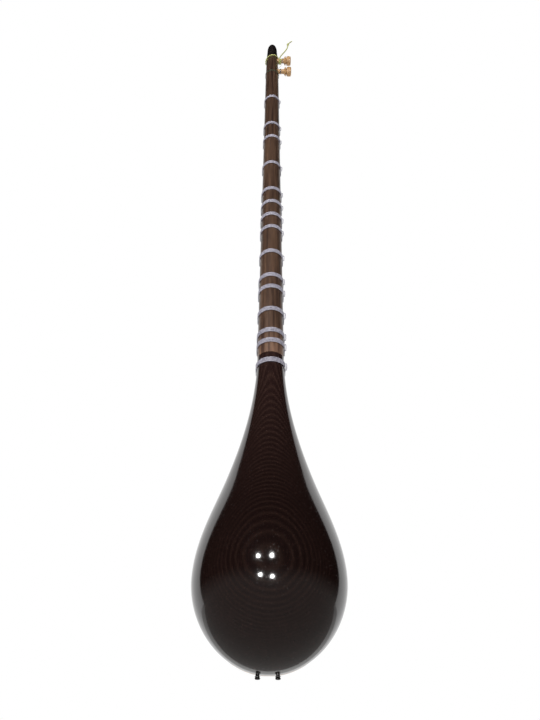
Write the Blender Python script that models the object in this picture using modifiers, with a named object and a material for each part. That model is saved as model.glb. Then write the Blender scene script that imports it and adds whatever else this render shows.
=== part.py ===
"""A long-necked tanbur with two strings, a carved bowl and tied frets, hanging upright by its cord.

The frame is in metres. +Z runs up the neck towards the head, the playing side faces -Y, the
rounded back faces +Y, and the pegs stand out on the -X side. The origin lies on the front face of
the head, at the height where the hanging cord goes round it.
"""

import math

import bmesh
import bpy
import numpy as np
from mathutils import Vector

# Lengths along the instrument
HANG_ABOVE_NUT = 0.063
SCALE_LENGTH = 0.940
NECK_LENGTH = 0.693
BOWL_LENGTH = 0.3206
CAP_BASE_ABOVE_NUT = 0.0705
CAP_TAPER_LENGTH = 0.036
CAP_DOME_LENGTH = 0.023

# Neck and head sections: half a width, a depth from front to back
NUT_HALF_WIDTH = 0.0124
JOINT_HALF_WIDTH = 0.01575
CAP_BASE_HALF_WIDTH = 0.0114
CAP_DOME_HALF_WIDTH = 0.0099
NUT_DEPTH = 0.020
JOINT_DEPTH = 0.028
CAP_BASE_DEPTH = 0.0185
CAP_DOME_DEPTH = 0.0172
CAP_TIP_BEHIND_FRONT = 0.0082
NECK_SHOULDER = 0.40
EDGE_CHAMFER = 0.0008
HEAD_CHAMFER = 0.0045

# Carved bowl
BOWL_WIDTH = 0.137
BOWL_DEPTH = 0.100
BOWL_SHOULDER = 0.22
WIDEST_ABOVE_TAIL = 0.070
FLANK_ABOVE_TAIL = 0.1597
FLANK_HALF_WIDTH = 0.0443
FLANK_SLOPE = 0.329
RIM_TUCK = 0.03
BOWL_WALL = 0.005
TAIL_WALL = 0.014
CAVITY_BELOW_JOINT = 0.078
TENON_LENGTH = 0.045
TENON_WIDTH = 0.016
TENON_DEPTH = 0.013
TENON_BEHIND_FRONT = 0.0075

# Soundboard
BOARD_THICKNESS = 0.003
BOARD_HOLE_DIAMETER = 0.004
BOARD_HOLE_RING = 0.009
BOARD_HOLES_ABOVE_TAIL = 0.150

# Nut, bridge and tail pins
NUT_HEIGHT = 0.0020
NUT_SLOT_DEPTH = 0.0010
NUT_THICKNESS = 0.004
BRIDGE_HEIGHT = 0.0105
BRIDGE_LENGTH = 0.050
BRIDGE_FOOT_THICKNESS = 0.0056
BRIDGE_TOP_THICKNESS = 0.0026
BRIDGE_ARCH_WIDTH = 0.026
BRIDGE_ARCH_HEIGHT = 0.0042
PIN_DIAMETER = 0.0034
PIN_HEAD_DIAMETER = 0.0046
PIN_STANDS_OUT = 0.0032
PIN_SUNK = 0.010
PIN_BEHIND_FRONT = 0.0078
PIN_LOOP_ABOVE_TIP = 0.0020
PIN_LOOP_RISE = 0.00008
TREBLE_PIN_X = 0.0095
BASS_PIN_X = -0.0075

# Strings
TREBLE_DIAMETER = 0.00045
BASS_DIAMETER = 0.00055
STRING_SPACING_AT_NUT = 0.009
STRING_SPACING_AT_BRIDGE = 0.016
TREBLE_EDGE_BELOW_PEG = 0.0195
BASS_EDGE_BELOW_PEG = 0.0040

# Pegs
UPPER_PEG_ABOVE_NUT = 0.0605
LOWER_PEG_ABOVE_NUT = 0.0160
PEG_BEHIND_FRONT = 0.0095
PEG_SHAFT_DIAMETER = 0.0085
PEG_BLIND_LENGTH = 0.0080
PEG_BARE_REACH = 0.0235
PEG_KNOB_LENGTH = 0.0143
PEG_KNOB_DIAMETER = 0.0175
PEG_GROOVE_DIAMETER = 0.0112
UPPER_WINDING_TURNS = 2
LOWER_WINDING_TURNS = 3
WINDING_PITCH = 0.00098

# Tied frets: semitones above the open string, and the line they are tied with
FRET_SEMITONES = (2, 4, 5, 7, 9, 10, 11, 12, 14, 16, 17, 19, 21, 22, 24)
FRET_LINE_DIAMETER = 0.00115
FRET_TURNS = 4
FRET_PITCH = 0.00165
FRET_TRAVEL = 0.0035
FRET_TRAVEL_ON_COLLAR = 0.001
FRET_KNOT_LIFT = 0.0018

# Thread tied behind the nut, and the hanging cord
TIE_DIAMETER = 0.0007
TIE_TURNS = 2
TIE_PITCH = 0.0012
TIE_FRONT_ABOVE_NUT = 0.0080
TIE_BACK_ABOVE_NUT = -0.0012
CORD_DIAMETER = 0.0022
CORD_TILT = 0.0035
HITCH_TURNS = 1.5
HITCH_PITCH = 0.0027
HITCH_FROM_HEAD = 0.0020

# Clearances between pieces that touch on the real instrument
GAP = 0.0003
PEG_CLEARANCE = 0.0002

# Places worked out from the sizes above
NUT_Z = -HANG_ABOVE_NUT
JOINT_Z = NUT_Z - NECK_LENGTH
TAIL_Z = JOINT_Z - BOWL_LENGTH
BRIDGE_Z = NUT_Z - SCALE_LENGTH
CAP_BASE_Z = NUT_Z + CAP_BASE_ABOVE_NUT
BOARD_BACK = BOARD_THICKNESS + GAP
STRING_DIAMETERS = {"bass": BASS_DIAMETER, "treble": TREBLE_DIAMETER}

# Colours of the finishes: red, green, blue, roughness, metallic
WALNUT = (0.105, 0.055, 0.032, 0.38, 0.0)
BLACK_CAP = (0.012, 0.010, 0.010, 0.30, 0.0)
LACQUER = (0.018, 0.007, 0.006, 0.16, 0.0)
MULBERRY = (0.52, 0.30, 0.12, 0.45, 0.0)
BOXWOOD = (0.47, 0.27, 0.12, 0.42, 0.0)
BONE = (0.78, 0.72, 0.58, 0.35, 0.0)
DARK_WOOD = (0.060, 0.030, 0.018, 0.40, 0.0)
BLACK_PIN = (0.010, 0.009, 0.009, 0.35, 0.0)
STEEL = (0.55, 0.55, 0.56, 0.28, 1.0)
NYLON = (0.42, 0.40, 0.43, 0.30, 0.0)
THREAD = (0.16, 0.19, 0.13, 0.35, 0.0)
YELLOW_CORD = (0.42, 0.42, 0.16, 0.55, 0.0)


def clear_scene():
    for old in list(bpy.data.objects):
        bpy.data.objects.remove(old, do_unlink=True)


def make_collection(name):
    group = bpy.data.collections.new(name)
    bpy.context.scene.collection.children.link(group)
    return group


def make_material(name, finish):
    red, green, blue, roughness, metallic = finish
    material = bpy.data.materials.new(name)
    material.use_nodes = True
    shader = material.node_tree.nodes["Principled BSDF"]
    shader.inputs["Base Color"].default_value = (red, green, blue, 1.0)
    shader.inputs["Roughness"].default_value = roughness
    shader.inputs["Metallic"].default_value = metallic
    return material


def add_object(name, data, material, group, location=(0.0, 0.0, 0.0)):
    item = bpy.data.objects.new(name, data)
    item.location = location
    data.materials.append(material)
    group.objects.link(item)
    return item


def smooth_shade(mesh, angle=35.0):
    mesh.shade_smooth()
    mesh.set_sharp_from_angle(angle=math.radians(angle))


# Sections of the neck, head and bowl

def hermite(share, start, end, start_slope, end_slope):
    """A smooth run from start to end, with the slopes per whole run."""
    square = share * share
    cube = square * share
    return ((2 * cube - 3 * square + 1) * start + (cube - 2 * square + share) * start_slope
            + (3 * square - 2 * cube) * end + (cube - square) * end_slope)


def between(share, start, end):
    return start + (end - start) * share


def neck_size(z):
    """Half width and depth of the tapering neck, and of the head up to the cap."""
    if z > NUT_Z:
        share = (z - NUT_Z) / CAP_BASE_ABOVE_NUT
        return (between(share, NUT_HALF_WIDTH, CAP_BASE_HALF_WIDTH),
                between(share, NUT_DEPTH, CAP_BASE_DEPTH))
    share = (NUT_Z - z) / NECK_LENGTH
    return (between(share, NUT_HALF_WIDTH, JOINT_HALF_WIDTH),
            between(share, NUT_DEPTH, JOINT_DEPTH))


def bowl_size(z, wall=0.0, tail_wall=0.0):
    """Half width, depth and fullness (0 at the collar, 1 at the widest place) of the bowl."""
    above_tail = z - TAIL_Z
    widest = BOWL_WIDTH / 2
    if above_tail <= WIDEST_ABOVE_TAIL:
        across = (WIDEST_ABOVE_TAIL - above_tail) / (WIDEST_ABOVE_TAIL - tail_wall)
        round_share = math.sqrt(max(0.0, 1.0 - across * across))
        depth = between(round_share, BOARD_BACK, BOWL_DEPTH - wall)
        return (widest - wall) * round_share, depth, 1.0
    neck_slope = (JOINT_HALF_WIDTH - NUT_HALF_WIDTH) / NECK_LENGTH
    if above_tail <= FLANK_ABOVE_TAIL:
        run = FLANK_ABOVE_TAIL - WIDEST_ABOVE_TAIL
        share = (above_tail - WIDEST_ABOVE_TAIL) / run
        half_width = hermite(share, widest, FLANK_HALF_WIDTH, 0.0, -FLANK_SLOPE * run)
    else:
        run = BOWL_LENGTH - FLANK_ABOVE_TAIL
        share = min(1.0, (above_tail - FLANK_ABOVE_TAIL) / run)
        half_width = hermite(share, FLANK_HALF_WIDTH, JOINT_HALF_WIDTH,
                             -FLANK_SLOPE * run, -neck_slope * run)
    collar = JOINT_HALF_WIDTH
    fullness = max(0.0, (half_width - collar) / (widest - collar))
    depth = between(fullness, JOINT_DEPTH, BOWL_DEPTH)
    return half_width - wall, depth - wall, fullness


def outer_size(z):
    """Half width, depth and distance of the widest level behind the front, anywhere along."""
    if z >= JOINT_Z:
        half_width, depth = neck_size(z)
        return half_width, depth, NECK_SHOULDER * depth
    half_width, depth, fullness = bowl_size(z)
    return half_width, depth, bowl_shoulder(depth, fullness)


def bowl_shoulder(depth, fullness):
    """Distance of the widest level behind the front, never in front of the rim."""
    return max(BOARD_BACK + GAP, between(fullness, NECK_SHOULDER, BOWL_SHOULDER) * depth)


def round_back(half_width, depth, shoulder, steps):
    """The back of a section: half an ellipse from the +X side round to the -X side."""
    angles = [math.pi * step / steps for step in range(steps + 1)]
    return [(half_width * math.cos(a), shoulder + (depth - shoulder) * math.sin(a)) for a in angles]


def front_chamfer(z):
    """Chamfer of the front edges: none on the bowl, small along the neck, growing to the cap."""
    if z < JOINT_Z:
        return 0.0
    share = min(1.0, max(0.0, (z - NUT_Z) / CAP_BASE_ABOVE_NUT))
    return between(share, EDGE_CHAMFER, HEAD_CHAMFER)


def neck_ring(z, half_width, depth, steps=12):
    """A closed ring of the neck or cap: flat front, chamfered edges, straight sides, round back."""
    chamfer = front_chamfer(z)
    back = round_back(half_width, depth, NECK_SHOULDER * depth, steps)
    flat = [(half_width - chamfer, 0.0), (half_width, chamfer)]
    outline = flat + back + [(-x, y) for x, y in reversed(flat)]
    return [(x, y, z) for x, y in outline]


def bowl_ring(z, front, wall=0.0, tail_wall=0.0, steps=18):
    """A closed ring of the bowl, or of the hollow in it, from the plane of its rim backwards."""
    half_width, depth, fullness = bowl_size(z, wall, tail_wall)
    shoulder = bowl_shoulder(depth, fullness)
    rim = (half_width * (1.0 - RIM_TUCK * fullness), front)
    outline = [rim] + round_back(half_width, depth, shoulder, steps) + [(-rim[0], front)]
    return [(x, y, z) for x, y in outline]


def loft_mesh(name, rings):
    """A closed skin over rings that have the same number of points."""
    shape = bmesh.new()
    loops = [[shape.verts.new(point) for point in ring] for ring in rings]
    for first, second in zip(loops, loops[1:]):
        for i in range(len(first)):
            j = (i + 1) % len(first)
            shape.faces.new((first[i], first[j], second[j], second[i]))
    shape.faces.new(list(reversed(loops[0])))
    shape.faces.new(loops[-1])
    bmesh.ops.recalc_face_normals(shape, faces=shape.faces)
    mesh = bpy.data.meshes.new(name)
    shape.to_mesh(mesh)
    shape.free()
    smooth_shade(mesh)
    return mesh


# Cutters and Booleans

def box_mesh(name, low, high):
    shape = bmesh.new()
    bmesh.ops.create_cube(shape, size=1.0)
    low, high = Vector(low), Vector(high)
    for vert in shape.verts:
        vert.co = Vector([(low[i] + high[i]) / 2 + vert.co[i] * (high[i] - low[i]) for i in range(3)])
    mesh = bpy.data.meshes.new(name)
    shape.to_mesh(mesh)
    shape.free()
    return mesh


def rod_mesh(name, diameter, start, end, sides=24):
    """A round bar between two points, whose flats touch the given diameter from outside."""
    start, end = Vector(start), Vector(end)
    shape = bmesh.new()
    radius = diameter / 2 / math.cos(math.pi / sides)
    bmesh.ops.create_cone(shape, cap_ends=True, segments=sides, radius1=radius, radius2=radius,
                          depth=(end - start).length)
    turn = (end - start).to_track_quat("Z", "Y").to_matrix().to_4x4()
    bmesh.ops.transform(shape, matrix=turn, verts=shape.verts)
    bmesh.ops.translate(shape, vec=(start + end) / 2, verts=shape.verts)
    mesh = bpy.data.meshes.new(name)
    shape.to_mesh(mesh)
    shape.free()
    return mesh


def cutter(mesh, material, cutters):
    tool = add_object(mesh.name, mesh, material, cutters)
    tool.hide_render = True
    tool.display_type = "WIRE"
    return tool


def combine(target, tool, operation):
    change = target.modifiers.new(tool.name, "BOOLEAN")
    change.operation = operation
    change.solver = "EXACT"
    change.object = tool


# Curves: tubes, windings and flat plates

def tube(name, points, diameter, material, group, sides=6, radii=None, location=(0.0, 0.0, 0.0)):
    """A round tube with closed ends along a row of points."""
    curve = bpy.data.curves.new(name, "CURVE")
    curve.dimensions = "3D"
    curve.twist_mode = "MINIMUM"
    curve.bevel_depth = diameter / 2
    curve.bevel_resolution = (sides - 4) // 2
    curve.use_fill_caps = True
    line = curve.splines.new("POLY")
    line.points.add(len(points) - 1)
    for index, point in enumerate(points):
        line.points[index].co = (*point, 1.0)
        line.points[index].radius = radii[index] if radii else 1.0
    return add_object(name, curve, material, group, location)


def least_gap(points, diameter, skip):
    """The smallest clear distance of a tube to itself, past skip along the tube."""
    points = np.array(points, dtype=float)
    samples = []
    for first, second in zip(points, points[1:]):
        samples += [first + (second - first) * share for share in (0.0, 0.25, 0.5, 0.75)]
    samples = np.array(samples + [points[-1]])
    steps = np.linalg.norm(np.diff(samples, axis=0), axis=1)
    along = np.concatenate([[0.0], np.cumsum(steps)])
    apart = np.linalg.norm(samples[:, None] - samples[None, :], axis=2)
    far = np.abs(along[:, None] - along[None, :]) > skip
    return float(apart[far].min() - diameter)


def smooth_route(points, count):
    """Evenly shared points on a smooth curve through a hand-chosen route."""
    route = [Vector(point) for point in points]
    route = [route[0] * 2 - route[1]] + route + [route[-1] * 2 - route[-2]]
    runs = len(route) - 3
    result = []
    for index in range(count):
        place = index * runs / (count - 1)
        first = min(int(place), runs - 1)
        share = place - first
        before, start, end, after = route[first:first + 4]
        result.append(hermite(share, start, end, (end - before) / 2, (after - start) / 2))
    return result


def helix(radius, start, turns, pitch, start_angle, points_per_turn=12):
    """Points round the X axis, stepping towards -X by the pitch each turn."""
    count = int(round(turns * points_per_turn))
    result = []
    for index in range(count + 1):
        angle = start_angle + 2 * math.pi * index / points_per_turn
        x = start - pitch * index / points_per_turn
        result.append((x, radius * math.cos(angle), radius * math.sin(angle)))
    return result


def flat_plate(name, outline, thickness, material, group):
    """A plate with its front at y = 0 from an outline of (x, z) points, as a closed mesh."""
    curve = bpy.data.curves.new(name, "CURVE")
    curve.dimensions = "2D"
    curve.fill_mode = "BOTH"
    curve.extrude = thickness / 2
    line = curve.splines.new("POLY")
    line.points.add(len(outline) - 1)
    line.use_cyclic_u = True
    for index, (x, z) in enumerate(outline):
        line.points[index].co = (x, z, 0.0, 1.0)
    flat = bpy.data.objects.new(name + "_outline", curve)
    flat.rotation_euler = (math.pi / 2, 0.0, 0.0)
    flat.location = (0.0, thickness / 2, 0.0)
    group.objects.link(flat)
    bpy.context.view_layer.update()
    depsgraph = bpy.context.evaluated_depsgraph_get()
    mesh = bpy.data.meshes.new_from_object(flat.evaluated_get(depsgraph))
    mesh.name = name
    shape = bmesh.new()
    shape.from_mesh(mesh)
    bmesh.ops.remove_doubles(shape, verts=shape.verts, dist=0.00005)
    bmesh.ops.recalc_face_normals(shape, faces=shape.faces)
    shape.to_mesh(mesh)
    shape.free()
    plate = add_object(name, mesh, material, group)
    plate.matrix_world = flat.matrix_world.copy()
    bpy.data.objects.remove(flat, do_unlink=True)
    return plate


def turned(name, profile, steps, material, group, location, turn):
    """A turned piece: (radius, height) points down its outer side, spun round its own Z."""
    shape = bmesh.new()
    verts = [shape.verts.new((radius, 0.0, height)) for radius, height in profile]
    for first, second in zip(verts, verts[1:]):
        shape.edges.new((first, second))
    mesh = bpy.data.meshes.new(name)
    shape.to_mesh(mesh)
    shape.free()
    piece = add_object(name, mesh, material, group, location)
    piece.rotation_euler = turn
    spin = piece.modifiers.new("turned", "SCREW")
    spin.axis = "Z"
    spin.steps = steps
    spin.render_steps = steps
    spin.use_merge_vertices = True
    spin.merge_threshold = 0.00005
    spin.use_smooth_shade = True
    return piece


# The pieces

def bowl_heights(top, tail_wall, upper_count, tail_count):
    """Heights of the bowl's rings from the top down, closer together towards the tail."""
    widest_z = TAIL_Z + WIDEST_ABOVE_TAIL
    upper = [between(step / upper_count, top, widest_z) for step in range(upper_count)]
    first, last = math.pi / 2, 0.13
    tail = []
    for step in range(tail_count + 1):
        angle = between(step / tail_count, first, last)
        tail.append(widest_z - (WIDEST_ABOVE_TAIL - tail_wall) * math.cos(angle))
    return upper + tail


def make_bowl(material, group, cutters):
    """The one-piece carved bowl, hollow and open at the front, with a mortise in its collar."""
    rings = [bowl_ring(z, BOARD_BACK) for z in bowl_heights(JOINT_Z - GAP, 0.0, 14, 9)]
    bowl = add_object("bowl", loft_mesh("bowl", rings), material, group)
    hollow_front = BOARD_BACK - BOWL_WALL
    heights = bowl_heights(JOINT_Z - CAVITY_BELOW_JOINT, TAIL_WALL, 9, 7)
    hollow_rings = [bowl_ring(z, hollow_front, BOWL_WALL, TAIL_WALL, 16) for z in heights]
    hollow = cutter(loft_mesh("bowl_hollow_cut", hollow_rings), material, cutters)
    combine(bowl, hollow, "DIFFERENCE")
    half = TENON_WIDTH / 2 + GAP
    front = TENON_BEHIND_FRONT - GAP
    back = TENON_BEHIND_FRONT + TENON_DEPTH + GAP
    bottom = JOINT_Z - TENON_LENGTH - GAP
    mortise = box_mesh("mortise_cut", (-half, front, bottom), (half, back, JOINT_Z + BOWL_WALL))
    combine(bowl, cutter(mortise, material, cutters), "DIFFERENCE")
    for label, x in (("bass", BASS_PIN_X), ("treble", TREBLE_PIN_X)):
        start = (x, PIN_BEHIND_FRONT, TAIL_Z - PIN_STANDS_OUT)
        end = (x, PIN_BEHIND_FRONT, TAIL_Z + PIN_SUNK + GAP)
        hole = rod_mesh("tail_pin_hole_" + label, PIN_DIAMETER + 2 * GAP, start, end, 12)
        combine(bowl, cutter(hole, material, cutters), "DIFFERENCE")
    return bowl


def make_soundboard(material, group, cutters):
    """The thin front board that follows the rim, with a ring of small sound holes."""
    heights = bowl_heights(JOINT_Z - GAP, 0.0, 14, 9)
    side = []
    for z in heights:
        half_width, _, fullness = bowl_size(z)
        side.append((half_width * (1.0 - RIM_TUCK * fullness), z))
    outline = side + [(-x, z) for x, z in reversed(side)]
    board = flat_plate("soundboard", outline, BOARD_THICKNESS, material, group)
    centre = Vector((0.0, 0.0, TAIL_Z + BOARD_HOLES_ABOVE_TAIL))
    spots = [centre]
    for step in range(6):
        angle = math.pi * step / 3
        spots.append(centre + Vector((math.cos(angle), 0.0, math.sin(angle))) * BOARD_HOLE_RING)
    through = Vector((0.0, BOARD_THICKNESS + BOWL_WALL, 0.0))
    for index, spot in enumerate(spots):
        name = "sound_hole_%d" % (index + 1)
        hole = rod_mesh(name, BOARD_HOLE_DIAMETER, spot - through, spot + through, 10)
        combine(board, cutter(hole, material, cutters), "DIFFERENCE")
    return board


def make_neck(material, group, cutters):
    """The neck and head in one piece: a tenon below, a slot for the nut, and two peg holes."""
    rings = []
    for z in (JOINT_Z, NUT_Z, CAP_BASE_Z):
        rings.append(neck_ring(z, *neck_size(z)))
    neck = add_object("neck", loft_mesh("neck", rings), material, group)
    front = TENON_BEHIND_FRONT
    tenon = box_mesh("tenon_union", (-TENON_WIDTH / 2, front, JOINT_Z - TENON_LENGTH),
                     (TENON_WIDTH / 2, front + TENON_DEPTH, JOINT_Z + TENON_DEPTH))
    combine(neck, cutter(tenon, material, cutters), "UNION")
    wide = NUT_HALF_WIDTH + BOWL_WALL
    slot = box_mesh("nut_slot_cut", (-wide, -NUT_HEIGHT, NUT_Z - GAP),
                    (wide, NUT_SLOT_DEPTH + GAP, NUT_Z + NUT_THICKNESS + GAP))
    combine(neck, cutter(slot, material, cutters), "DIFFERENCE")
    for label, above_nut in (("upper", UPPER_PEG_ABOVE_NUT), ("lower", LOWER_PEG_ABOVE_NUT)):
        start = (-NUT_HALF_WIDTH - BOWL_WALL, PEG_BEHIND_FRONT, NUT_Z + above_nut)
        end = (PEG_BLIND_LENGTH + GAP, PEG_BEHIND_FRONT, NUT_Z + above_nut)
        diameter = PEG_SHAFT_DIAMETER + 2 * PEG_CLEARANCE
        hole = rod_mesh("peg_hole_" + label, diameter, start, end)
        combine(neck, cutter(hole, material, cutters), "DIFFERENCE")
    return neck


def make_head_cap(material, group):
    """The black rounded end of the head: a short taper and then a dome."""
    rings = []
    for share in (0.0, 1.0):
        z = CAP_BASE_Z + GAP + share * (CAP_TAPER_LENGTH - GAP)
        half_width = between(share, CAP_BASE_HALF_WIDTH, CAP_DOME_HALF_WIDTH)
        rings.append(neck_ring(z, half_width, between(share, CAP_BASE_DEPTH, CAP_DOME_DEPTH)))
    dome_base = rings[-1]
    for degrees in (22, 42, 60, 74, 84):
        angle = math.radians(degrees)
        shrink = math.cos(angle)
        z = CAP_BASE_Z + CAP_TAPER_LENGTH + CAP_DOME_LENGTH * math.sin(angle)
        centre = CAP_TIP_BEHIND_FRONT
        rings.append([(x * shrink, centre + (y - centre) * shrink, z) for x, y, _ in dome_base])
    return add_object("head_cap", loft_mesh("head_cap", rings), material, group)


def make_nut(material, group):
    """The bone nut, let into its slot, with its front edge rounded by a bevel."""
    half_width = NUT_HALF_WIDTH - GAP
    mesh = box_mesh("nut", (-half_width, -NUT_HEIGHT, NUT_Z),
                    (half_width, NUT_SLOT_DEPTH, NUT_Z + NUT_THICKNESS))
    nut = add_object("nut", mesh, material, group)
    soften = nut.modifiers.new("rounded_edges", "BEVEL")
    soften.width = 0.0004
    soften.segments = 1
    return nut


def make_bridge(material, group, cutters):
    """The loose bridge: a tapered bar on two feet, with a notch for each string."""
    rings = []
    for share, length_share in ((0.0, 1.0), (0.35, 0.97), (0.75, 0.78), (1.0, 0.60)):
        y = -GAP - share * BRIDGE_HEIGHT
        x = BRIDGE_LENGTH / 2 * length_share
        z = between(share, BRIDGE_FOOT_THICKNESS, BRIDGE_TOP_THICKNESS) / 2
        rings.append([(x, y, BRIDGE_Z + z), (-x, y, BRIDGE_Z + z), (-x, y, BRIDGE_Z - z), (x, y, BRIDGE_Z - z)])
    bridge = add_object("bridge", loft_mesh("bridge", rings), material, group)
    arch = rod_mesh("bridge_arch_cut", BRIDGE_ARCH_WIDTH, (0.0, 0.0, BRIDGE_Z - BRIDGE_FOOT_THICKNESS),
                    (0.0, 0.0, BRIDGE_Z + BRIDGE_FOOT_THICKNESS), 20)
    flatten = BRIDGE_ARCH_HEIGHT / (BRIDGE_ARCH_WIDTH / 2)
    for vert in arch.vertices:
        vert.co.y = -GAP + vert.co.y * flatten
    combine(bridge, cutter(arch, material, cutters), "DIFFERENCE")
    for label, x in string_bridge_places().items():
        radius = STRING_DIAMETERS[label] / 2 + GAP
        centre_y = string_height_at_bridge(label)
        notch = rod_mesh("bridge_notch_" + label, 2 * radius, (x, centre_y, BRIDGE_Z - BRIDGE_FOOT_THICKNESS),
                         (x, centre_y, BRIDGE_Z + BRIDGE_FOOT_THICKNESS), 8)
        combine(bridge, cutter(notch, material, cutters), "DIFFERENCE")
    return bridge


def make_tail_pin(label, x, material, group):
    """A small black pin in the tail, waisted where the string goes round it."""
    shank = PIN_DIAMETER / 2
    head = PIN_HEAD_DIAMETER / 2
    out = PIN_STANDS_OUT
    profile = [(0.0, out), (head * 0.6, out), (head, out - 0.0006), (head, out - 0.0013),
               (shank, out - 0.0019), (shank, -PIN_SUNK), (0.0, -PIN_SUNK)]
    location = (x, PIN_BEHIND_FRONT, TAIL_Z)
    return turned("tail_pin_" + label, profile, 12, material, group, location, (math.pi, 0.0, 0.0))


def make_peg(label, above_nut, material, group):
    """A turned peg on its own axis: shaft, flare, flange, groove and drum-shaped knob."""
    axis = bpy.data.objects.new("peg_axis_" + label, None)
    axis.location = (0.0, PEG_BEHIND_FRONT, NUT_Z + above_nut)
    group.objects.link(axis)
    shaft = PEG_SHAFT_DIAMETER / 2
    knob = PEG_KNOB_DIAMETER / 2
    groove = PEG_GROOVE_DIAMETER / 2
    root = PEG_BARE_REACH
    end = root + PEG_KNOB_LENGTH
    profile = [(0.0, end), (knob * 0.80, end - 0.0002), (knob * 0.97, end - 0.0014),
               (knob, end - 0.0048), (knob * 0.96, end - 0.0080), (knob * 0.86, end - 0.0088),
               (groove, end - 0.0090), (groove, end - 0.0102), (knob * 0.86, end - 0.0104),
               (knob * 0.96, end - 0.0112), (knob * 0.90, end - 0.0122), (shaft * 1.15, root + 0.0002),
               (shaft, root - 0.0008), (shaft, -PEG_BLIND_LENGTH), (0.0, -PEG_BLIND_LENGTH)]
    name = "peg_" + label
    peg = turned(name, profile, 20, material, group, (0.0, 0.0, 0.0), (0.0, -math.pi / 2, 0.0))
    peg.parent = axis
    return axis


def winding_radius(label):
    return PEG_SHAFT_DIAMETER / 2 + GAP + STRING_DIAMETERS[label] / 2


def winding_start(label):
    """How far from the middle of the head the string's turns begin on the peg."""
    if label == "treble":
        hitch_end = head_side(UPPER_PEG_ABOVE_NUT) + HITCH_FROM_HEAD + HITCH_TURNS * HITCH_PITCH
        return hitch_end + CORD_DIAMETER / 2 + 2 * GAP + 3 * TREBLE_DIAMETER
    return head_side(LOWER_PEG_ABOVE_NUT) + 6 * BASS_DIAMETER


def head_side(above_nut):
    return neck_size(NUT_Z + above_nut)[0]


def make_winding(name, label, turns, axis, material, group):
    """The string's turns on a peg shaft: one unbroken tube that turns with the peg."""
    points = helix(winding_radius(label), -winding_start(label), turns, WINDING_PITCH, math.pi)
    diameter = STRING_DIAMETERS[label]
    print(name, "least gap to itself, mm:", round(least_gap(points, diameter, 0.006) * 1000, 3))
    coil = tube(name, points, diameter, material, group, sides=4)
    coil.parent = axis
    return coil


def string_bridge_places():
    return {"treble": STRING_SPACING_AT_BRIDGE / 2, "bass": -STRING_SPACING_AT_BRIDGE / 2}


def string_height_at_bridge(label):
    return -GAP - BRIDGE_HEIGHT


def pin_loop(x, diameter):
    """A turn of string round a tail pin, below the tail, from its front side round the back."""
    radius = PIN_DIAMETER / 2 + GAP + diameter / 2
    points = []
    for step in range(9):
        angle = -math.pi / 2 + 2 * math.pi * step / 10
        z = TAIL_Z - PIN_STANDS_OUT + PIN_LOOP_ABOVE_TIP + step * PIN_LOOP_RISE
        points.append((x + radius * math.cos(angle), PIN_BEHIND_FRONT + radius * math.sin(angle), z))
    return list(reversed(points))


def make_string(label, pin_x, route, material, group):
    """A string from its tail pin over the bridge and nut, round the head's edge to its peg."""
    diameter = STRING_DIAMETERS[label]
    at_bridge = string_bridge_places()[label]
    at_nut = math.copysign(STRING_SPACING_AT_NUT / 2, at_bridge)
    over_nut = -NUT_HEIGHT - GAP - diameter / 2
    edge = -GAP - diameter / 2
    points = pin_loop(pin_x, diameter)
    points += [(pin_x, edge + 0.0006, TAIL_Z - 0.0016), (pin_x, edge - 0.0006, TAIL_Z + 0.0004),
               (at_bridge, string_height_at_bridge(label), BRIDGE_Z),
               (at_nut, over_nut, NUT_Z), (at_nut, over_nut, NUT_Z + NUT_THICKNESS)]
    points += [(x, y, NUT_Z + above_nut) for x, y, above_nut in route]
    return tube("string_" + label, points, diameter, material, group, sides=4)


def bass_route():
    """From the nut under the tie, over the head's edge and on to the front of the lower peg."""
    over_edge = LOWER_PEG_ABOVE_NUT - BASS_EDGE_BELOW_PEG
    side = head_side(over_edge)
    peg_front = PEG_BEHIND_FRONT - winding_radius("bass")
    reach = winding_start("bass") - 2.5 * BASS_DIAMETER
    return [(-0.0050, -0.0012, TIE_FRONT_ABOVE_NUT), (-side - 0.0003, -0.0009, over_edge),
            (-side - 0.0011, 0.0009, over_edge + 0.0015), (-reach, peg_front, LOWER_PEG_ABOVE_NUT)]


def treble_route():
    """From the nut under the tie, across the head's front to its edge and the upper peg."""
    over_edge = UPPER_PEG_ABOVE_NUT - TREBLE_EDGE_BELOW_PEG
    side = head_side(over_edge)
    chamfer = front_chamfer(NUT_Z + over_edge)
    peg_front = PEG_BEHIND_FRONT - winding_radius("treble")
    reach = winding_start("treble") - 2.5 * TREBLE_DIAMETER
    return [(0.0044, -0.0012, TIE_FRONT_ABOVE_NUT), (chamfer - side, -0.0009, over_edge),
            (-side - 0.0009, chamfer - 0.0004, over_edge + 0.0022),
            (-reach, peg_front - 0.0006, UPPER_PEG_ABOVE_NUT - 0.0050),
            (-reach, peg_front, UPPER_PEG_ABOVE_NUT)]


def loop_outline(z, reach, arc_steps):
    """Points round a section at a set distance, from the -X side by the back to the front."""
    half_width, depth, shoulder = outer_size(z)
    swell = 1.0 / math.cos(math.pi / (2 * arc_steps))
    back = round_back((half_width + reach), depth + reach, shoulder, arc_steps)
    middle = Vector((0.0, shoulder))
    back = [back[0]] + [tuple(middle + (Vector(p) - middle) * swell) for p in back[1:-1]] + [back[-1]]
    chamfer = front_chamfer(z)
    mitre = reach * math.tan(math.pi / 8)
    front = [(half_width + reach, chamfer - mitre), (half_width - chamfer + mitre, -reach)]
    return list(reversed(back)) + front + [(-x, y) for x, y in reversed(front)]


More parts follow.
